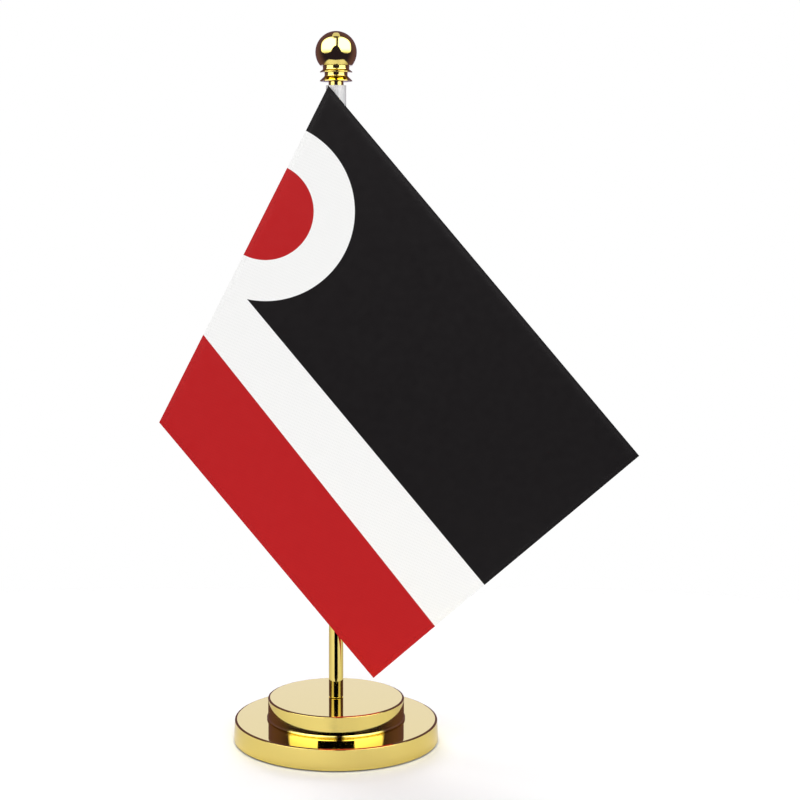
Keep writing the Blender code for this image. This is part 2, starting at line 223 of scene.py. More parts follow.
goldPlateLook = {
    "colour": "#EAD579",
    "roughness": (0.035, 0.085),   # polished, and a little duller where it was handled
    "smudge": 14 * mm,             # across the duller places
    "swell": 6 * mm,               # across the faint waves that buffing leaves
    "swellHeight": 0.0012 * mm,
    "lineSpacing": 0.35 * mm,      # between buffing lines; real ones are 0.05, drawn coarser to show
    "lineHeight": 0.00012 * mm,
}


def makeGoldPlate(name, look):
    # brass-toned electroplate on turned steel, buffed: sharp warm reflections, with faint swells
    # and turning lines that only show as a slight shimmer along the highlights
    made, tree, shader, place = newMaterial(name, {"Base Color": toLinear(look["colour"]), "Metallic": 1.0})
    smudge = addNode(tree, "TexNoise",
                     {"Scale": 1 / look["smudge"], "Detail": 5.0, "Roughness": 0.62, "Vector": place})
    dull = addNode(tree, "MapRange", {"From Min": 0.35, "From Max": 0.75, "To Min": look["roughness"][0],
                                      "To Max": look["roughness"][1], "Value": smudge})
    x, y, z = addNode(tree, "SeparateXYZ", {"Vector": place}, None)
    flat = addNode(tree, "CombineXYZ", {"X": x, "Y": y})
    radius = addNode(tree, "VectorMath", {0: flat}, "Value", operation="LENGTH")
    turn = addNode(tree, "CombineXYZ", {"X": radius, "Y": z})
    lines = addNode(tree, "TexNoise", {"Scale": 1 / look["lineSpacing"], "Detail": 2.0, "Vector": turn})
    swell = addNode(tree, "TexNoise", {"Scale": 1 / look["swell"], "Detail": 1.0, "Vector": place})
    lineBump = addNode(tree, "Bump", {"Strength": 1.0, "Distance": look["lineHeight"], "Height": lines})
    swellBump = addNode(tree, "Bump", {"Strength": 1.0, "Distance": look["swellHeight"], "Height": swell,
                                       "Normal": lineBump})
    feed(tree, shader, {"Roughness": dull, "Normal": swellBump})
    return made


zincSteelLook = {
    "colour": "#C3C5C6",
    "tint": "#CFC6A4",          # where the passivation shows straw-coloured
    "cloud": 5 * mm,            # across those places
    "roughness": (0.24, 0.42),
    "grain": 0.6 * mm,          # across the zinc's cloudy grain
    "grainHeight": 0.004 * mm,
}


def makeZincSteel(name, look):
    # turned steel, zinc plated and passivated: a cool grey sheen with straw clouds and a fine frosting
    made, tree, shader, place = newMaterial(name, {"Metallic": 1.0})
    cloud = addNode(tree, "TexNoise", {"Scale": 1 / look["cloud"], "Detail": 4.0, "Vector": place})
    colour = addNode(tree, "Mix", {0: cloud, 6: toLinear(look["colour"]), 7: toLinear(look["tint"])}, 2,
                     data_type="RGBA")
    grain = addNode(tree, "TexVoronoi", {"Scale": 1 / look["grain"], "Vector": place}, "Distance")
    dull = addNode(tree, "MapRange", {"From Min": 0.0, "From Max": 0.8, "To Min": look["roughness"][0],
                                      "To Max": look["roughness"][1], "Value": grain})
    bump = addNode(tree, "Bump", {"Strength": 0.5, "Distance": look["grainHeight"], "Height": grain})
    feed(tree, shader, {"Base Color": colour, "Roughness": dull, "Normal": bump})
    return made


castIronLook = {
    "colour": "#4A4744",
    "scale": "#2B2928",
    "roughness": 0.62,
    "sand": 0.8 * mm,           # across the grains that the sand mould leaves
    "sandHeight": 0.06 * mm,
}


def makeCastIron(name, look):
    # grey iron as it comes from a sand mould: dark, pitted, and hardly shining
    made, tree, shader, place = newMaterial(name, {"Metallic": 0.85, "Roughness": look["roughness"]})
    sand = addNode(tree, "TexNoise",
                   {"Scale": 1 / look["sand"], "Detail": 6.0, "Roughness": 0.7, "Vector": place})
    colour = addNode(tree, "Mix", {0: sand, 6: toLinear(look["scale"]), 7: toLinear(look["colour"])}, 2,
                     data_type="RGBA")
    bump = addNode(tree, "Bump", {"Strength": 0.8, "Distance": look["sandHeight"], "Height": sand})
    feed(tree, shader, {"Base Color": colour, "Normal": bump})
    return made


rubberLook = {
    "colour": "#1B1B1C",
    "bloom": "#2C2B2A",         # the paler bloom that old rubber gets
    "bloomSize": 9 * mm,
    "roughness": 0.72,
    "grain": 0.35 * mm,         # drawn twice as coarse as the mould's own finish
    "grainHeight": 0.012 * mm,
}


def makeRubber(name, look):
    # moulded nitrile rubber: near black and matt, with a fine grain and a faint grey bloom
    made, tree, shader, place = newMaterial(name, {"Roughness": look["roughness"], "IOR": 1.52})
    bloom = addNode(tree, "TexNoise", {"Scale": 1 / look["bloomSize"], "Detail": 4.0, "Vector": place})
    colour = addNode(tree, "Mix", {0: bloom, 6: toLinear(look["colour"]), 7: toLinear(look["bloom"])}, 2,
                     data_type="RGBA")
    grain = addNode(tree, "TexNoise", {"Scale": 1 / look["grain"], "Detail": 3.0, "Vector": place})
    bump = addNode(tree, "Bump", {"Strength": 0.7, "Distance": look["grainHeight"], "Height": grain})
    feed(tree, shader, {"Base Color": colour, "Normal": bump})
    return made


clearVinylLook = {
    "colour": "#FAFAFB",
    "roughness": (0.16, 0.34),
    "clearness": 0.24,          # the rest is the milky part
    "streak": 0.5 * mm,         # between the faint draw lines of the extruded tube
    "streakHeight": 0.006 * mm,
}


def makeClearVinyl(name, look):
    # extruded clear PVC tube: slightly milky, with draw lines along it that blur what is behind
    made, tree, shader, place = newMaterial(name, {
        "Base Color": toLinear(look["colour"]),
        "IOR": 1.53,
        "Transmission Weight": look["clearness"],
    })
    along = addNode(tree, "Mapping", {"Scale": (1.0, 1.0, 0.02), "Vector": place})
    streak = addNode(tree, "TexNoise", {"Scale": 1 / look["streak"], "Detail": 2.0, "Vector": along})
    dull = addNode(tree, "MapRange", {"From Min": 0.3, "From Max": 0.7, "To Min": look["roughness"][0],
                                      "To Max": look["roughness"][1], "Value": streak})
    bump = addNode(tree, "Bump", {"Strength": 0.6, "Distance": look["streakHeight"], "Height": streak})
    feed(tree, shader, {"Roughness": dull, "Normal": bump})
    return made


# the flag's own directions: along its upper edge, straight down from that edge, and down its hoist
flagCorners = cornersOf("flag_front_cloth")
alongEdge = (flagCorners[1] - flagCorners[0]).normalized()
downEdge = Vector((alongEdge.z, 0.0, -alongEdge.x))
downHoist = (flagCorners[3] - flagCorners[0]).normalized()

printLayout = {
    "blackDepth": 79.6 * mm,    # of black below the upper edge, at the hoist end
    "blackSlant": 0.0156,       # more for each unit along
    "whiteDepth": 101.4 * mm,   # to the red field
    "whiteSlant": 0.0408,
    "discDown": 56 * mm,        # down the hoist to the centre of the half discs
    "whiteDisc": 36 * mm,       # radius
    "redDisc": 19.5 * mm,
    "edge": 0.12 * mm,          # over which one ink ends and the next begins
}

satinLook = {
    "black": "#151213",
    "red": "#BC171B",
    "white": "#FBFBFA",
    "roughness": (0.41, 0.51),
    "slub": 3 * mm,              # across the places where the sheen changes
    "thread": 0.55 * mm,         # between threads; a real satin has 0.12, drawn coarser to show
    "threadHeight": 0.010 * mm,
    "float": 5,                  # threads that each float passes over
    "sheen": 0.02,
}


def addPrint(tree, look, layout, fromTop, along, down):
    # the flag's three fields and the plain half discs at its hoist, as one colour
    black, red = [addNode(tree, "Math", {0: along, 1: -slant, 2: down}, operation="MULTIPLY_ADD")
                  for slant in (layout["blackSlant"], layout["whiteSlant"])]
    flat = addNode(tree, "VectorMath", {0: fromTop, 1: (1.0, 0.0, 1.0)}, operation="MULTIPLY")
    centre = tuple(downHoist * layout["discDown"])
    away = addNode(tree, "VectorMath", {0: flat, 1: centre}, "Value", operation="DISTANCE")
    colour = toLinear(look["black"])
    for value, limit, side, ink in (
        (black, layout["blackDepth"], 1, look["white"]),
        (away, layout["whiteDisc"], -1, look["white"]),
        (away, layout["redDisc"], -1, look["red"]),
        (red, layout["whiteDepth"], 1, look["red"]),
    ):
        # this ink lies past the limit, or inside it for a disc
        half = side * layout["edge"] / 2
        mask = addNode(tree, "MapRange", {"From Min": limit - half, "From Max": limit + half, "Value": value})
        colour = addNode(tree, "Mix", {0: mask, 6: colour, 7: toLinear(ink)}, 2, data_type="RGBA")
    return colour


def addWeave(tree, along, down, look):
    # satin: long floats, each row starting two threads further on, as a height
    across = addNode(tree, "Math", {0: down, 1: look["thread"]}, operation="DIVIDE")
    row = addNode(tree, "Math", {0: across}, operation="FLOOR")
    shift = addNode(tree, "Math", {0: row, 1: 2 / look["float"]}, operation="MULTIPLY")
    length = addNode(tree, "Math", {0: along, 1: look["thread"] * look["float"]}, operation="DIVIDE")
    start = addNode(tree, "Math", {0: length, 1: shift}, operation="ADD")
    humps = []
    for value in (across, start):
        part = addNode(tree, "Math", {0: value}, operation="FRACT")
        wave = addNode(tree, "Math", {0: part, 1: math.pi}, operation="MULTIPLY")
        hump = addNode(tree, "Math", {0: wave}, operation="SINE")
        humps.append(addNode(tree, "Math", {0: hump, 1: 0.4}, operation="POWER"))
    return addNode(tree, "Math", {0: humps[0], 1: humps[1]}, operation="MULTIPLY")


def makeSatin(name, look, layout=None):
    # polyester satin, dye-printed when it has a layout: flat clear fields with a broad soft sheen
    made, tree, shader, place = newMaterial(name, {
        "Base Color": toLinear(look["white"]),
        "Specular IOR Level": 0.14,
        "Sheen Weight": look["sheen"],
        "Sheen Roughness": 0.4,
    })
    fromTop = addNode(tree, "VectorMath", {0: place, 1: tuple(flagCorners[0])}, operation="SUBTRACT")
    along, down = [addNode(tree, "VectorMath", {0: fromTop, 1: tuple(way)}, "Value", operation="DOT_PRODUCT")
                   for way in (alongEdge, downEdge)]
    weave = addWeave(tree, along, down, look)
    slub = addNode(tree, "TexNoise", {"Scale": 1 / look["slub"], "Detail": 3.0, "Vector": place})
    dull = addNode(tree, "MapRange", {"From Min": 0.3, "From Max": 0.7, "To Min": look["roughness"][0],
                                      "To Max": look["roughness"][1], "Value": slub})
    bump = addNode(tree, "Bump", {"Strength": 0.35, "Distance": look["threadHeight"], "Height": weave})
    feed(tree, shader, {"Roughness": dull, "Normal": bump})
    if layout:
        # the ink is darkened in the hollows between threads: painted shade
        ink = addPrint(tree, look, layout, fromTop, along, down)
        shade = addNode(tree, "MapRange", {"To Min": 0.9, "To Max": 1.0, "Value": weave})
        inkWithPaintedShade = addNode(tree, "Mix", {0: 1.0, 6: ink, 7: shade}, 2, data_type="RGBA", blend_type="MULTIPLY")
        feed(tree, shader, {"Base Color": inkWithPaintedShade})
    return made


interliningLook = {
    "colour": "#E9E7E0",
    "shadow": "#CBC8BF",
    "fibre": 0.5 * mm,          # between the pressed fibres
    "fibreHeight": 0.03 * mm,
}


def makeInterlining(name, look):
    # non-woven polyester stiffener: matt off-white, with pressed fibres lying every way
    made, tree, shader, place = newMaterial(name, {"Roughness": 0.9, "Specular IOR Level": 0.2})
    fibre = addNode(tree, "TexNoise",
                    {"Scale": 1 / look["fibre"], "Detail": 5.0, "Distortion": 2.5, "Vector": place})
    colour = addNode(tree, "Mix", {0: fibre, 6: toLinear(look["shadow"]), 7: toLinear(look["colour"])}, 2,
                     data_type="RGBA")
    bump = addNode(tree, "Bump", {"Strength": 0.6, "Distance": look["fibreHeight"], "Height": fibre})
    feed(tree, shader, {"Base Color": colour, "Normal": bump})
    return made


goldPlate = (makeGoldPlate("gold_electroplate_buffed", goldPlateLook), "gold_plate")
zincSteel = (makeZincSteel("steel_zinc_plated", zincSteelLook), "zinc_steel")
castIron = (makeCastIron("grey_iron_sand_cast", castIronLook), "cast_iron")
rubber = (makeRubber("nitrile_rubber_moulded", rubberLook), "rubber")
clearVinyl = (makeClearVinyl("pvc_tube_extruded", clearVinylLook), "clear_plastic")
printedSatin = (makeSatin("polyester_satin_printed", satinLook, printLayout), "printed_satin")
plainSatin = (makeSatin("polyester_satin_white", satinLook), "white_satin")
interlining = (makeInterlining("polyester_nonwoven_pressed", interliningLook), "interlining")
print("materials made")


coverShape = {
    "wall": 0.8 * mm,         # of sheet
    "slopeWidth": 0.9 * mm,   # the top's rim slopes down gently
    "slopeDrop": 0.3 * mm,
    "slopeRound": 0.4 * mm,
    "topRound": 0.16 * mm,    # where the rim turns into the side
    "innerRound": 0.15 * mm,
    "footRoll": 0.35 * mm,    # the rolled foot's rounding
    "draft": 0.45 * mm,       # that the lower cover's side leans in
    "bead": 0.45 * mm,        # radius of the upper cover's foot bead
    "neck": 0.18 * mm,        # radius of the small neck above the bead
    "lowerHole": 4.3 * mm,
    "upperHole": 2.25 * mm,
}


def makeLowerCover(shape):
    foot, top, radius = spanOf("lower_tier_shell")
    wall, hole, inner, roll = shape["wall"], shape["lowerHole"], shape["innerRound"], shape["footRoll"]
    edge = radius - shape["draft"]
    turnPiece("lower_tier_cover", "lower_tier_shell", goldPlate, rounded([
        (hole, top, inner),
        (edge - shape["slopeWidth"], top, shape["slopeRound"]),
        (edge, top - shape["slopeDrop"], shape["topRound"]),
        (radius, foot, roll),
        (radius - wall, foot, roll),
        (edge - wall, top - wall, inner),
        (hole, top - wall, inner),
    ]), 256)


def makeUpperCover(shape):
    # the foot is rolled outwards into a bead, with a small neck above it
    foot, top, widest = spanOf("upper_tier_shell")
    foot -= cadGap - snug
    wall, hole, inner = shape["wall"], shape["upperHole"], shape["innerRound"]
    bead, neck = shape["bead"], shape["neck"]
    radius = widest - bead
    curve = arcOf(radius + neck, foot + 2 * bead + 0.16 * mm, neck, 180, 250, 4)
    curve += arcOf(radius, foot + bead, bead, 68, -90, 12)
    turnPiece("upper_tier_cover", "upper_tier_shell", goldPlate, rounded([
        (hole, top, inner),
        (radius - shape["slopeWidth"], top, shape["slopeRound"]),
        (radius, top - shape["slopeDrop"], shape["topRound"]),
        *[(r, z, 0.0) for r, z in curve],
        (radius - wall, foot, 0.0),
        (radius - wall, top - wall, inner),
        (hole, top - wall, inner),
    ]), 256)


padShape = {
    "edgeRound": 0.25 * mm,
    "rim": 2.2 * mm,          # from the edge to the first groove
    "groovePitch": 2.4 * mm,
    "grooveWidth": 0.8 * mm,
    "grooveDepth": 0.4 * mm,
    "grooveSlant": 0.1 * mm,  # that each groove's side leans
}


def makePad(shape):
    # a disc of rubber with rings moulded into its underside for grip
    foot, top, radius = spanOf("anti_slip_pad")
    slant = shape["grooveSlant"]
    outline = plainOutline("anti_slip_pad", 0.0, shape["edgeRound"], 6)[:-1]
    edge = radius - shape["rim"]
    roof = foot + shape["grooveDepth"]
    while edge > 2 * shape["groovePitch"]:
        inner = edge - shape["grooveWidth"]
        outline += [(edge, foot), (edge - slant, roof), (inner + slant, roof), (inner, foot)]
        edge -= shape["groovePitch"]
    turnPiece("anti_slip_pad_moulded", "anti_slip_pad", rubber, [*outline, (0.0, foot)], 192)


plateRound = 0.2 * mm   # rounding of the bottom plate's edge

weightShape = {
    "castRound": 0.9 * mm,    # rounding of the outer edges
    "boreRound": 0.3 * mm,
    "bore": 4.3 * mm,         # radius round the bush
    "recess": 9.6 * mm,       # radius round the washers and the nut
    "recessRound": 0.4 * mm,
    "seat": 8.0 * mm,         # radius round the bush's flange
    "seatDepth": 2.3 * mm,
    "seatRound": 0.2 * mm,
}


def makeWeights(shape):
    cast, bend, bore = shape["castRound"], shape["boreRound"], shape["bore"]
    foot, top, radius = spanOf("lower_weight")
    ledge = spanOf("clamp_washer")[1] + cadGap
    turnPiece("lower_weight_cast", "lower_weight", castIron, rounded([
        (bore, top, bend),
        (radius, top, cast),
        (radius, foot, cast),
        (shape["recess"], foot, shape["recessRound"]),
        (shape["recess"], ledge, bend),
        (bore, ledge, bend),
    ], 4), 192)
    foot, top, radius = spanOf("upper_weight")
    ledge = top - shape["seatDepth"]
    turnPiece("upper_weight_cast", "upper_weight", castIron, rounded([
        (shape["seat"], top, bend),
        (radius, top, cast),
        (radius, foot, cast),
        (bore, foot, bend),
        (bore, ledge, bend),
        (shape["seat"], ledge, shape["seatRound"]),
    ], 4), 192)


makeLowerCover(coverShape)
makeUpperCover(coverShape)
makePad(padShape)
turnPiece("bottom_plate_pressed", "bottom_plate", zincSteel,
          plainOutline("bottom_plate", 0.0, plateRound, 4), 192)
makeWeights(weightShape)
print("base made")


threadShape = {"pitch": 0.7 * mm, "depth": 0.38 * mm, "rowsPerTurn": 14, "sides": 48}
smallThreadShape = {"pitch": 0.5 * mm, "depth": 0.26 * mm, "rowsPerTurn": 12, "sides": 36}

fastenerShape = {
    "bore": 4.3 * mm,           # radius of the holes round the bush
    "tap": 2.25 * mm,           # radius of a tapped hole, inside its thread
    "tapRim": 0.3 * mm,         # that a tapped hole opens at its ends
    "shank": 4.0 * mm,          # the bush's radius
    "flange": 2.0 * mm,         # thickness of the bush's flange
    "stud": 2.0 * mm,           # radius of the studs' thread
    "plug": 12.0 * mm,          # length of a stud's plug
    "plugChamfer": 0.3 * mm,
    "nutCone": 0.96,            # where the nut's chamfer starts, as a share of its flat
    "nutChamfer": 0.22,         # its height, as a share of the nut's
    "washerBevel": 0.12 * mm,
    "lockBevel": 0.1 * mm,
    "lockSlit": 1.0 * mm,
    "lockLift": 0.12 * mm,      # by which the lock washer's ends stand apart in height
}


def addThreadRings(bm, low, high, crest, shape, lowFree, highFree, inward=False):
    # rings along a right-handed thread with flats at crest and root; its free ends taper to the root
    pitch = shape["pitch"]
    taper = 0.8 * pitch
    side = -1 if inward else 1
    rows = max(4, round((high - low) / pitch * shape["rowsPerTurn"]))
    rings = []
    for i in range(rows + 1):
        z = low + (high - low) * i / rows
        fade = min(1.0, (z - low) / taper if lowFree else 1.0, (high - z) / taper if highFree else 1.0)
        ring = []
        for k in range(shape["sides"]):
            turn = k / shape["sides"]
            ridge = 1 - abs(2 * ((z / pitch - turn) % 1.0) - 1)
            up = min(1.0, max(0.0, (ridge - 0.12) / 0.7)) * max(0.0, fade)
            radius = crest - side * shape["depth"] * (1 - up)
            angle = 2 * math.pi * turn
            ring.append(bm.verts.new((radius * math.cos(angle), radius * math.sin(angle), z)))
        rings.append(ring)
    return rings


def makePoleStud(name, node, upwards, shape):
    # a turned plug that is pressed into the tube, with a cut thread standing out of it
    low, high, radius = spanOf(node)
    base, tip, way = (low, high, 1) if upwards else (high, low, -1)
    shoulder = base + way * shape["plug"]
    chamfer = shape["plugChamfer"]
    bm = bmesh.new()
    plug = [(0.0, base), (radius - chamfer, base), (radius, base + way * chamfer), (radius, shoulder),
            (shape["stud"] - threadShape["depth"], shoulder)]
    rings = [ringOf(bm, r, z, threadShape["sides"]) for r, z in plug]
    ends = sorted((shoulder + way * snug, tip - way * 0.02 * mm))
    thread = addThreadRings(bm, *ends, shape["stud"], threadShape, not upwards, upwards)
    rings += thread[::way]
    rings.append(ringOf(bm, 0.0, tip, threadShape["sides"]))
    bridge(bm, rings)
    install(meshObject(name, bm, 50), zincSteel, node)


def makeBallStud():
    low, high, radius = spanOf("ball_stud")
    sides = smallThreadShape["sides"]
    bm = bmesh.new()
    rings = [ringOf(bm, 0.0, low, sides)]
    rings += addThreadRings(bm, low + 0.02 * mm, high - 0.02 * mm, radius, smallThreadShape, True, True)
    rings.append(ringOf(bm, 0.0, high, sides))
    bridge(bm, rings)
    install(meshObject("ball_stud_threaded", bm, 50), zincSteel, "ball_stud")


def makeTapped(name, node, outline, margin):
    # a turned piece with a thread cut through it, up to a margin from each end
    low, high, _ = spanOf(node)
    bm = bmesh.new()
    rings = [ringOf(bm, r, z, threadShape["sides"]) for r, z in outline]
    ends = low + margin, high - margin
    rings += addThreadRings(bm, *ends, fastenerShape["tap"], threadShape, True, True, inward=True)
    bridge(bm, rings, closed=True)
    install(meshObject(name, bm, 50), zincSteel, node)


def makeBush(shape):
    # the flanged bush that holds both tiers together
    low, high, flange = spanOf("centre_bush")
    mouth = shape["tap"] + shape["tapRim"]
    step = high - shape["flange"]
    makeTapped("centre_bush_turned", "centre_bush", rounded([
        (mouth, high, 0.0),
        (flange, high, 0.3 * mm),
        (flange, step, 0.2 * mm),
        (shape["shank"], step, 0.15 * mm),
        (shape["shank"], low, 0.3 * mm),
        (mouth, low, 0.0),
    ], 4), 0.2 * mm)


def makeInsert(shape, bend=0.2 * mm):
    low, high, radius = spanOf("finial_insert")
    mouth = shape["tap"] + shape["tapRim"]
    corners = [(mouth, high, 0.0), (radius, high, bend), (radius, low, bend), (mouth, low, 0.0)]
    makeTapped("finial_insert_tapped", "finial_insert", rounded(corners, 3), 0.15 * mm)


def makeHexNut(shape):
    # a chamfered hexagon: each corner is rounded off where the chamfer cone meets it
    low, high, corner = spanOf("clamp_nut")
    apothem = corner * math.cos(math.pi / 6)
    start = apothem * shape["nutCone"]
    drop = (high - low) * shape["nutChamfer"]
    hole = shape["bore"]
    sides = 96
    shares = [k / 5 for k in range(6)]
    levels = [(high - drop * s ** 1.5, s) for s in shares]
    levels += [(low + drop * s ** 1.5, s) for s in shares[::-1]]
    bm = bmesh.new()
    rings = [ringOf(bm, hole, high - 0.2 * mm, sides), ringOf(bm, hole + 0.25 * mm, high, sides)]
    for z, share in levels:
        cone = start + (corner - start) * share
        ring = []
        for k in range(sides):
            angle = 2 * math.pi * k / sides
            radius = min(apothem / math.cos(angle % (math.pi / 3) - math.pi / 6), cone)
            ring.append(bm.verts.new((radius * math.cos(angle), radius * math.sin(angle), z)))
        rings.append(ring)
    rings += [ringOf(bm, hole + 0.25 * mm, low, sides), ringOf(bm, hole, low + 0.2 * mm, sides)]
    bridge(bm, rings, closed=True)
    install(meshObject("clamp_nut_hex", bm, 25), zincSteel, "clamp_nut")


def makeLockWasher(shape, steps=110):
    # a square wire bent into a ring with a slit
    section = plainOutline("lock_washer", shape["bore"], shape["lockBevel"], 3)
    first = math.asin(shape["lockSlit"] / 2 / spanOf("lock_washer")[2])
    bm = bmesh.new()
    rings = []
    for i in range(steps + 1):
        angle = first + (2 * math.pi - 2 * first) * i / steps
        lift = (i / steps - 0.5) * shape["lockLift"]
        rings.append([bm.verts.new((r * math.cos(angle), r * math.sin(angle), z + lift))
                      for r, z in section])
    bridge(bm, rings)
    bm.faces.new(rings[0])
    bm.faces.new(rings[-1])
    install(meshObject("lock_washer_split", bm), zincSteel, "lock_washer")


def makeWasher(shape):
    outline = plainOutline("clamp_washer", shape["bore"], shape["washerBevel"], 4)
    turnPiece("clamp_washer_stamped", "clamp_washer", zincSteel, outline)


makeBush(fastenerShape)
makeWasher(fastenerShape)
makeLockWasher(fastenerShape)
makeHexNut(fastenerShape)
makePoleStud("pole_bottom_stud_threaded", "pole_bottom_stud", False, fastenerShape)
makePoleStud("pole_top_stud_threaded", "pole_top_stud", True, fastenerShape)
print("fasteners made")


tubeShape = {
    "poleWall": 0.6 * mm,
    "poleRound": 0.12 * mm,
    "sleeveBore": 3.55 * mm,
    "sleeveRound": 0.15 * mm,
    "ringRound": 0.3 * mm,
    "ringSeam": 0.06 * mm,    # height of the moulding seam round the stop ring
}


def makePole(shape):
    bore = spanOf("pole_tube")[2] - shape["poleWall"]
    outline = plainOutline("pole_tube", bore, shape["poleRound"], 3)
    turnPiece("pole_tube_drawn", "pole_tube", goldPlate, outline)


def makeSleeve(shape):
    outline = plainOutline("clear_sleeve", shape["sleeveBore"], shape["sleeveRound"], 3)
    turnPiece("clear_sleeve_tube", "clear_sleeve", clearVinyl, outline, 96)


def makeStopRing(shape):
    low, high, radius = spanOf("stop_ring")
    bore, bend = spanOf("pole_tube")[2] + 0.04 * mm, shape["ringRound"]
    middle = (low + high) / 2
    turnPiece("stop_ring_moulded", "stop_ring", rubber, rounded([
        (bore, high, bend),
        (radius, high, bend),
        (radius, middle + 0.1 * mm, 0.0),
        (radius + shape["ringSeam"], middle, 0.0),
        (radius, middle - 0.1 * mm, 0.0),
        (radius, low, bend),
        (bore, low, bend),
    ], 5), 96)


collarShape = {
    "droop": 0.9 * mm,        # that each flange falls towards its tip
    "lip": 0.3 * mm,          # thick at the tip
    "tipRound": 0.1 * mm,
    "lowerNeck": 4.6 * mm,    # radius
    "upperNeck": 5.3 * mm,
    "upperFlange": 3.5 * mm,  # from the collar's foot to the upper flange's tip
}


def makeCollar(shape):
    # two thin drooping flanges on a waisted turning, each neck a shallow cove
    low, high, tip = spanOf("finial_collar")
    lip, droop, bend = shape["lip"], shape["droop"], shape["tipRound"]
    lower, upper = shape["lowerNeck"], shape["upperNeck"]
    shelf = low + shape["upperFlange"]
    bore = spanOf("pole_tube")[2] + snug
    hole = spanOf("ball_stud")[2] + snug
    seat, roof, pocket = spanOf("finial_insert")
    seat, roof, pocket = seat - snug, roof + snug, pocket + snug
    turnPiece("finial_collar_turned", "finial_collar", goldPlate, rounded([
        (hole, high, 0.0),
        (upper, high, 0.12 * mm),
        (upper, shelf + lip + droop, 0.5 * mm),
        (tip, shelf + lip, bend),
        (tip, shelf, bend),
        (lower, shelf + lip, 0.35 * mm),
        (lower, low + lip + 2 * droop, 0.7 * mm),
        (tip, low + lip, bend),
        (tip, low, bend),
        (bore, low, bend),
        (bore, seat, 0.0),
        (pocket, seat, 0.0),
        (pocket, roof, 0.0),
        (hole, roof, 0.0),
    ]), 160)


def makeBall():
    # a ball with a flat foot that comes down onto the collar's top
    low, high, radius = spanOf("finial_ball")
    foot = low - cadGap + 0.02 * mm
    centre = high - radius
    start = math.degrees(math.asin((foot - centre) / radius))
    _, roof, hole = spanOf("ball_stud")
    roof, hole = roof + 0.1 * mm, hole + snug
    outline = [(0.0, high), *arcOf(0.0, centre, radius, 90, start, 64)[1:]]
    foot -= 0.02 * mm
    outline += [(outline[-1][0] - 0.1 * mm, foot), (hole, foot), (hole, roof), (0.0, roof)]
    turnPiece("finial_ball_polished", "finial_ball", goldPlate, outline, 192)


makePole(tubeShape)
makeCollar(collarShape)
makeBall()
makeBallStud()
makeInsert(fastenerShape)
makeSleeve(tubeShape)
makeStopRing(tubeShape)
print("pole, finial, sleeve and stop ring made")


flagShape = {
    "cell": 1.6 * mm,         # between grid lines inside the flag
    "rims": (0.0, 0.08, 0.25, 0.55, 1.0, 1.6, 2.3, 3.1, 4.2),  # mm, the closer grid lines near an edge
    "pinch": 3.0 * mm,        # over which the two cloths come together
    "edge": 0.28,             # share of its distance from the seam that a cloth keeps at the edge
    "wave": 0.30 * mm,        # that the cloth wanders from flat
    "curl": 0.9 * mm,         # that the far corner leans back
}

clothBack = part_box("flag_back_cloth")
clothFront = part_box("flag_front_cloth")
seamY = (clothBack[1].y + clothFront[0].y) / 2


def edgeShares(length, shape):
    # grid lines along one direction: close together near both edges and even between them
    rims = [r * mm / length for r in shape["rims"]]
    inner = rims[-1]
    count = max(2, round((1 - 2 * inner) * length / shape["cell"]))
    even = [inner + (1 - 2 * inner) * k / count for k in range(1, count)]
    return rims + even + [1 - r for r in reversed(rims)]


def clothDrift(x, z):
    # how far the whole flag stands off its flat plane: long slow waves, and a lean at the far corner
    offset = Vector((x, 0, z)) - flagCorners[0]
    along, down = offset.dot(alongEdge), offset.dot(downEdge)
    wave = math.sin(along / 0.041 + 0.6) * math.sin(down / 0.033 + 1.1)
    wave += 0.5 * math.sin((along + down) / 0.058)
    distance = max(0.0, abs(x) - 0.012) / 0.10
    lean = flagShape["curl"] * min(1.5, distance) ** 2
    return flagShape["wave"] * wave * min(1.0, distance * 2.5) - (lean if x > 0 else -0.3 * lean)


def flagPoint(across, down, corners):
    # across runs from hoist to fly, down from the upper edge to the lower one
    upper = corners[0].lerp(corners[1], across)
    return upper.lerp(corners[3].lerp(corners[2], across), down)


def clothPoint(point, faceY, kept):
    # a point of a cloth's face, which keeps this share of its distance from the seam at the flag's edge
    edges = zip(flagCorners, flagCorners[1:] + flagCorners[:1])
    inside = min((point - a).cross((b - a).normalized()).length for a, b in edges)
    kept += (1 - kept) * smooth(inside / flagShape["pinch"])
    return Vector((point.x, seamY + (faceY - seamY) * kept + clothDrift(point.x, point.z), point.z))


def makeCloth(name, node, outerY, innerY, shape):
    # its two faces come together towards the seam at the flag's edges
    across = edgeShares((flagCorners[1] - flagCorners[0]).length, shape)
    down = edgeShares((flagCorners[3] - flagCorners[0]).length, shape)
    bm = bmesh.new()
    grids = []
    for faceY, kept in ((outerY, shape["edge"]), (innerY, 0.0)):
        grids.append([[bm.verts.new(clothPoint(flagPoint(a, d, flagCorners), faceY, kept)) for a in across]
                      for d in down])
    closeSheet(bm, *grids)
    return install(meshObject(name, bm, 60), printedSatin, node)


def makeLining(corners, steps=60):
    # a stiff sheet between the two cloths, following the same slow waves
    low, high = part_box("flag_interlining")
    bm = bmesh.new()
    grids = []
    for y in (low.y, high.y):
        points = [[flagPoint(k / steps, i / steps, corners) for k in range(steps + 1)]
                  for i in range(steps + 1)]
        grids.append([[bm.verts.new((p.x, y + clothDrift(p.x, p.z), p.z)) for p in row] for row in points])
    closeSheet(bm, *grids)
    return install(meshObject("flag_interlining_sheet", bm, 60), interlining, "flag_interlining")


stitchShape = {
    "inset": 1.7 * mm,    # from the flag's edge to the stitch line
    "length": 2.1 * mm,
    "gap": 0.5 * mm,
    "thread": 0.22 * mm,  # thick
    "sides": 6,
    "rings": 5,
}


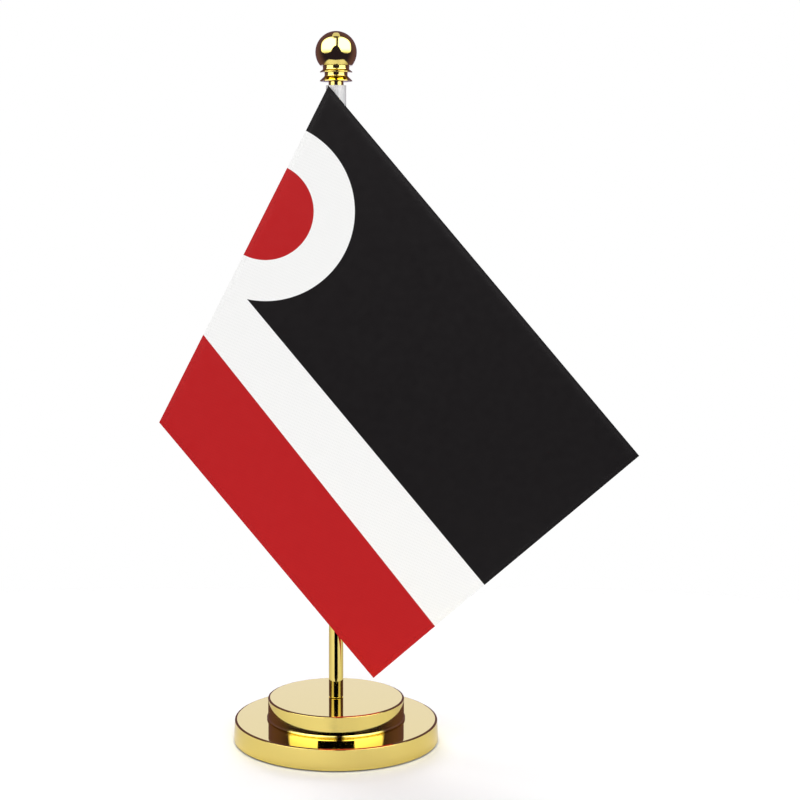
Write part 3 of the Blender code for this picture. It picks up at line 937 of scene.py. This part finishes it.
def addStitch(bm, start, end, outward, shape):
    # one stitch: a thread that comes out of the cloth, lies on it, and goes back in
    radius = shape["thread"] / 2
    sideways = (end - start).normalized().cross(outward).normalized()
    rings = []
    for i in range(shape["rings"] + 1):
        share = i / shape["rings"]
        hump = math.sin(math.pi * share) ** 0.5
        middle = start.lerp(end, share) + outward * radius * (1.1 * hump - 0.75)
        size = radius * (0.55 + 0.45 * hump)
        angles = [2 * math.pi * k / shape["sides"] for k in range(shape["sides"])]
        rings.append([bm.verts.new(middle + sideways * size * math.cos(a) + outward * size * math.sin(a))
                      for a in angles])
    bridge(bm, rings)
    bm.faces.new(rings[0])
    bm.faces.new(rings[-1])


def makeStitchRow(bm, start, end, outward, shape, surface):
    # stitches along a straight line; surface puts a point on the cloth
    total = (end - start).length
    count = max(1, int(total // (shape["length"] + shape["gap"])))
    step = total / count
    for i in range(count):
        a = start.lerp(end, (i * step + shape["gap"] / 2) / total)
        b = start.lerp(end, ((i + 1) * step - shape["gap"] / 2) / total)
        addStitch(bm, surface(a), surface(b), outward, shape)


def makeEdgeStitches(name, faceY, outward, shape):
    corners = []
    neighbours = flagCorners[-1:] + flagCorners, flagCorners[1:] + flagCorners[:1]
    for here, before, after in zip(flagCorners, *neighbours):
        toBefore = (before - here).normalized()
        toAfter = (after - here).normalized()
        corners.append(here + (toBefore + toAfter) * shape["inset"] / toBefore.cross(toAfter).length)
    bm = bmesh.new()
    for start, end in zip(corners, corners[1:] + corners[:1]):
        makeStitchRow(bm, start, end, outward, shape, lambda p: clothPoint(p, faceY, flagShape["edge"]))
    return attach(meshObject(name, bm, 80), printedSatin, "flag")


frontCloth = makeCloth("flag_front_satin", "flag_front_cloth", clothFront[0].y, clothFront[1].y, flagShape)
backCloth = makeCloth("flag_back_satin", "flag_back_cloth", clothBack[1].y, clothBack[0].y, flagShape)
liningCorners = cornersOf("flag_interlining")
lining = makeLining(liningCorners)
frontStitches = makeEdgeStitches("flag_edge_stitches_front", clothFront[0].y, Vector((0, -1, 0)), stitchShape)
backStitches = makeEdgeStitches("flag_edge_stitches_back", clothBack[1].y, Vector((0, 1, 0)), stitchShape)

pocketShape = {
    "cloth": 0.35 * mm,
    "lift": 0.02 * mm,        # that it stands off the flag and the CAD's own wing
    "hem": 4.0 * mm,          # each end is turned in
    "hemHeight": 0.3 * mm,
    "pucker": 0.12 * mm,
    "puckerPitch": 4.6 * mm,
    "puckerWidth": 1.6 * mm,
    "stitchOut": 6.3 * mm,    # from the pole's axis to each stitch line
    "stitchEnd": 0.6 * mm,    # from the pocket's ends
    "bend": 1.1 * mm,         # where a wing turns up to the sleeve
    "rows": 150,
}


def pocketProfile(offset, shape):
    # the pocket's section from its left edge over the sleeve to its right one, as (x, y)
    low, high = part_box("sleeve_pocket")
    wing = low.y + shape["lift"] + offset
    arch = spanOf("clear_sleeve")[2] + 0.08 * mm + offset
    bend = shape["bend"] - offset
    base = wing + bend
    shoulder = arch + bend
    points = [(-high.x, wing), (-high.x + 0.6 * mm, wing), (-shoulder - 0.8 * mm, wing)]
    turns = [math.radians(9 * k) for k in range(1, 11)]
    points += [(-shoulder + bend * math.sin(t), base - bend * math.cos(t)) for t in turns]
    points += [(-arch, base * (1 - k / 4)) for k in range(1, 4)]
    turns = [math.radians(5 * k) for k in range(18)]
    points += [(-arch * math.cos(t), arch * math.sin(t)) for t in turns]
    return points + [(0.0, arch)] + [(-x, y) for x, y in reversed(points)]


def puckerAt(z, shape):
    return shape["pucker"] * (0.5 + 0.5 * math.sin(2 * math.pi * z / shape["puckerPitch"]))


def makePocket(shape):
    low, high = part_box("sleeve_pocket")
    inner = pocketProfile(0.0, shape)
    length = high.z - low.z
    bm = bmesh.new()
    grids = []
    for profile, outside in ((inner, False), (pocketProfile(shape["cloth"], shape), True)):
        grid = []
        for i in range(shape["rows"] + 1):
            z = low.z + length * i / shape["rows"]
            hem = shape["hemHeight"] if outside and min(z - low.z, high.z - z) < shape["hem"] else 0.0
            row = []
            for x, y in profile:
                onWing = max(0.0, 1 - abs(abs(x) - shape["stitchOut"]) / shape["puckerWidth"])
                lift = puckerAt(z, shape) * onWing if outside else 0.0
                drift = clothDrift(x, z) if abs(x) > 5.5 * mm else 0.0
                radius = math.hypot(x, y)
                outX, outY = (x / radius, y / radius) if y > 0 else (0.0, 1.0)
                row.append(bm.verts.new((x + outX * hem, y + outY * hem + lift + drift, z)))
            grid.append(row)
        grids.append(grid)
    closeSheet(bm, *grids)
    piece = install(meshObject("sleeve_pocket_sewn", bm, 55), plainSatin, "sleeve_pocket")
    return piece, (sum(math.dist(a, b) for a, b in zip(inner, inner[1:])), length)


def makePocketStitches(shape):
    low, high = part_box("sleeve_pocket")
    top = low.y + shape["lift"] + shape["cloth"]
    bm = bmesh.new()
    for x in (-shape["stitchOut"], shape["stitchOut"]):
        start, end = Vector((x, 0, low.z + shape["stitchEnd"])), Vector((x, 0, high.z - shape["stitchEnd"]))
        makeStitchRow(bm, start, end, Vector((0, 1, 0)), stitchShape,
                      lambda p: Vector((p.x, top + puckerAt(p.z, shape), p.z)))
    return attach(meshObject("pocket_stitches", bm, 80), plainSatin, "flag")


pocket, pocketFlat = makePocket(pocketShape)
pocketStitches = makePocketStitches(pocketShape)
print("flag made")


stageShape = {
    "floorHalf": 0.30,               # m, half the table's width
    "floorFront": 0.26,              # m
    "floorBack": 0.25,               # m
    "floorColour": "#F5F5F5",
    "floorReflected": "#F6F6F8",     # how the table's front shows in the polished plate
    "floorReflectedFarShaded": "#BFB5A8",  # and its back, darker: painted shade for the dimmer light there
    "tentRadius": 0.72,              # m
    "tentStrength": 4.6,
    "tentEdgeStrength": 0.75,
    "roofHeight": 0.70,              # m above the ball
    "roofStrength": 0.85,
    "card": "#DFE0FF",
    "cardStrength": 1.3,
    "roomFront": "#292242",
    "roomBack": "#674C69",
    "diffuseSky": 0.62,
}

# the tent's side walls as seen from the ball: elevation, then where the left wall starts,
# where the right wall starts and where both end, in azimuth from the front
tentEdges = [
    (-7, 44, 44, 68),
    (-4, 38, 38, 74),
    (-1.5, 30, 30, 82),
    (2, 27, 27, 88),
    (8, 24.5, 24.5, 92),
    (16, 20, 20, 96),
    (24, 14, 15, 101),
    (29, 8, 11, 106),
    (33, -1, 11, 110),
    (45, -2, 13, 114),
    (60, -3, 17, 112),
    (72, -5, 26, 108),
    (80, -9, 48, 100),
]

# place and aim in m, size in m, power in W
fillLights = {
    "front_fill": ((0.15, -1.4, 0.7), (0.02, 0, 0.15), 0.9, 7.2),
    "back_fill": ((-0.2, 1.3, 0.9), (0.02, 0, 0.15), 0.9, 10.5),
    "top_fill": ((0.0, 0.1, 1.5), (0, 0.1, 0), 1.2, 6.0),
}


def emptyTree(holder):
    # a material's or a world's tree without its first nodes
    holder.use_nodes = True
    holder.node_tree.nodes.clear()
    return holder.node_tree


def makeGlow(name, colour, strength, edgeStrength=None):
    # lit cloth or card; with an edge strength it falls off to that where the piece's glow is 0
    made = bpy.data.materials.new(name)
    tree = emptyTree(made)
    if edgeStrength is not None:
        glow = addNode(tree, "Attribute", {}, "Fac", attribute_name="glow")
        strength = addNode(tree, "MapRange", {"To Min": edgeStrength, "To Max": strength, "Value": glow})
    light = addNode(tree, "Emission", {"Color": colour, "Strength": strength})
    addNode(tree, "OutputMaterial", {"Surface": light}, None)
    return made


def stagePiece(name, bm, material, hidden=True, diffuse=True):
    piece = meshObject(name, bm)
    piece.data.materials.append(material)
    piece.visible_camera = not hidden
    piece.visible_shadow = not hidden
    piece.visible_diffuse = diffuse
    return piece


def setPointValues(piece, name, values):
    piece.data.attributes.new(name, "FLOAT", "POINT").data.foreach_set("value", values)


def tentEdgeAt(elevation, start):
    # where this wall starts and ends at this elevation
    for lower, upper in zip(tentEdges, tentEdges[1:]):
        if elevation <= upper[0]:
            share = max(0.0, (elevation - lower[0]) / (upper[0] - lower[0]))
            return [lower[k] + (upper[k] - lower[k]) * share for k in (start, 3)]
    return tentEdges[-1][start], tentEdges[-1][3]


def makeTent(shape, rowCount=80, columnCount=60):
    # two lit walls, bright in the middle and falling off at their edges
    cloth = makeGlow("tent_cloth_lit", (1.0, 1.0, 1.0, 1.0), shape["tentStrength"], shape["tentEdgeStrength"])
    radius = shape["tentRadius"]
    centreZ = spanOf("finial_ball")[1] - spanOf("finial_ball")[2]
    lowest, highest = tentEdges[0][0], tentEdges[-1][0]
    for name, side, start in (("tent_left", -1, 1), ("tent_right", 1, 2)):
        bm = bmesh.new()
        rows = []
        glows = []
        for i in range(rowCount + 1):
            elevation = lowest + (highest - lowest) * i / rowCount
            high = math.radians(elevation)
            inner, outer = tentEdgeAt(elevation, start)
            row = []
            for k in range(columnCount + 1):
                azimuth = inner + (outer - inner) * k / columnCount
                turn = math.radians(azimuth)
                row.append(bm.verts.new((side * radius * math.cos(high) * math.sin(turn),
                                         -radius * math.cos(high) * math.cos(turn),
                                         centreZ + radius * math.sin(high))))
                margin = min((azimuth - inner) * math.cos(high), (outer - azimuth) * math.cos(high) * 0.5,
                             (elevation - lowest) * 0.24, (highest - elevation) * 0.5)
                glows.append(smooth(margin / 6.0))
            rows.append(row)
        bridge(bm, rows, around=False)
        setPointValues(stagePiece(name, bm, cloth, diffuse=False), "glow", glows)


def makeCard(name, corners, material, diffuse=True):
    bm = bmesh.new()
    bm.faces.new([bm.verts.new(point) for point in corners])
    stagePiece(name, bm, material, diffuse=diffuse)


def makeTable(shape, steps=90):
    # a pale table top that fades out towards the white surroundings
    made = bpy.data.materials.new("table_pale_laminate")
    tree = emptyTree(made)
    fade = addNode(tree, "Attribute", {}, "Fac", attribute_name="fade")
    mirrored = addNode(tree, "LightPath", {}, "Is Glossy Ray")
    place = addNode(tree, "TexCoord", {}, "Object")
    y = addNode(tree, "SeparateXYZ", {"Vector": place}, "Y")
    # in reflections the table turns darker towards its back: painted shade
    far = addNode(tree, "MapRange", {"From Min": -0.12, "From Max": 0.12, "Value": y},
                  interpolation_type="SMOOTHSTEP")
    seen = addNode(tree, "Mix", {0: far, 6: toLinear(shape["floorReflected"]),
                                 7: toLinear(shape["floorReflectedFarShaded"])}, 2, data_type="RGBA")
    colour = addNode(tree, "Mix", {0: mirrored, 6: toLinear(shape["floorColour"]), 7: seen}, 2,
                     data_type="RGBA")
    laminate = addNode(tree, "BsdfDiffuse", {"Color": colour})
    clear = addNode(tree, "BsdfTransparent", {})
    mix = addNode(tree, "MixShader", {0: fade, 1: laminate, 2: clear})
    addNode(tree, "OutputMaterial", {"Surface": mix}, None)
    half = shape["floorHalf"] * 1.25
    front = -shape["floorFront"] * 1.2
    back = shape["floorBack"] * 1.2
    bm = bmesh.new()
    rows = []
    for i in range(steps + 1):
        y = front + (back - front) * i / steps
        rows.append([bm.verts.new((-half + 2 * half * k / steps, y, 0.0)) for k in range(steps + 1)])
    bridge(bm, rows, around=False)
    table = stagePiece("table", bm, made, hidden=False)
    fades = []
    for vertex in table.data.vertices:
        x, y = vertex.co.x, vertex.co.y
        depth = -y / shape["floorFront"] if y < 0 else y / shape["floorBack"]
        outside = ((abs(x) / shape["floorHalf"]) ** 4 + depth ** 4) ** 0.25
        fades.append(smooth((outside - 0.9) / 0.2))
    setPointValues(table, "fade", fades)


def makeWorld(shape):
    # white to look at; in reflections, the dim room round the light tent
    world = bpy.data.worlds.new("studio")
    bpy.context.scene.world = world
    tree = emptyTree(world)
    path = addNode(tree, "LightPath", {}, None)
    place = addNode(tree, "TexCoord", {}, "Generated")
    y = addNode(tree, "SeparateXYZ", {"Vector": place}, "Y")
    behind = addNode(tree, "MapRange", {"From Min": -0.35, "From Max": 0.6, "Value": y},
                     interpolation_type="SMOOTHSTEP")
    colour = addNode(tree, "Mix", {0: behind, 6: toLinear(shape["roomFront"]),
                                   7: toLinear(shape["roomBack"])}, 2, data_type="RGBA")
    room = addNode(tree, "Background", {"Color": colour, "Strength": 1.0})
    fill = addNode(tree, "Background", {"Color": (1, 1, 1, 1), "Strength": shape["diffuseSky"]})
    white = addNode(tree, "Background", {"Color": (1, 1, 1, 1), "Strength": 1.0})
    lit = addNode(tree, "MixShader", {0: path["Is Glossy Ray"], 1: fill, 2: room})
    seen = addNode(tree, "MixShader", {0: path["Is Camera Ray"], 1: lit, 2: white})
    addNode(tree, "OutputWorld", {"Surface": seen}, None)


def addLight(name, location, aim, size, power):
    # a soft disc of light that leaves no reflection
    data = bpy.data.lights.new(name, "AREA")
    data.shape = "DISK"
    data.size = size
    data.energy = power
    light = bpy.data.objects.new(name, data)
    light.location = location
    light.rotation_euler = (Vector(aim) - Vector(location)).to_track_quat("-Z", "Y").to_euler()
    light.visible_camera = False
    light.visible_glossy = False
    bpy.context.scene.collection.objects.link(light)


def makeStage(shape):
    makeTent(shape)
    height = shape["roofHeight"]
    roofZ = spanOf("finial_ball")[1] + height
    near, far = 0.05 * height, 0.84 * height
    wide, narrow = 0.27 * height, 0.10 * height
    makeCard("roof_panel", [(-wide, near, roofZ), (wide, near, roofZ),
                            (narrow, far, roofZ), (-narrow, far, roofZ)],
             makeGlow("roof_panel_lit", (1.0, 1.0, 1.0, 1.0), shape["roofStrength"]), diffuse=False)
    makeCard("back_card", [(-0.12, 0.5, 0.11), (0.12, 0.5, 0.11), (0.12, 0.5, 0.24), (-0.12, 0.5, 0.24)],
             makeGlow("back_card_lit", toLinear(shape["card"]), shape["cardStrength"]))
    makeCard("lens_flag", [(-0.04, -0.08, 0.002), (0.04, -0.08, 0.002),
                           (0.04, -0.08, 0.05), (-0.04, -0.08, 0.05)],
             makeGlow("lens_flag_black", (0.0, 0.0, 0.0, 1.0), 0.0), diffuse=False)
    makeTable(shape)
    makeWorld(shape)
    for name, values in fillLights.items():
        addLight(name, *values)


cameraShape = {
    "location": (0.0, -0.70, 0.22994),  # m
    "tilt": 82.9123,                    # degrees up from looking straight down
    "lens": 77.369,                     # mm
    "sensor": 36.0,                     # mm
    "shift": (0.0799, 0.00125),
}


def makeCamera(shape):
    data = bpy.data.cameras.new("camera")
    data.lens = shape["lens"]
    data.sensor_width = shape["sensor"]
    data.shift_x, data.shift_y = shape["shift"]
    camera = bpy.data.objects.new("camera", data)
    camera.location = shape["location"]
    camera.rotation_euler = (math.radians(shape["tilt"]), 0.0, 0.0)
    bpy.context.scene.collection.objects.link(camera)
    bpy.context.scene.camera = camera


makeStage(stageShape)
makeCamera(cameraShape)
bpy.context.scene.view_settings.view_transform = "Standard"
print("stage made")
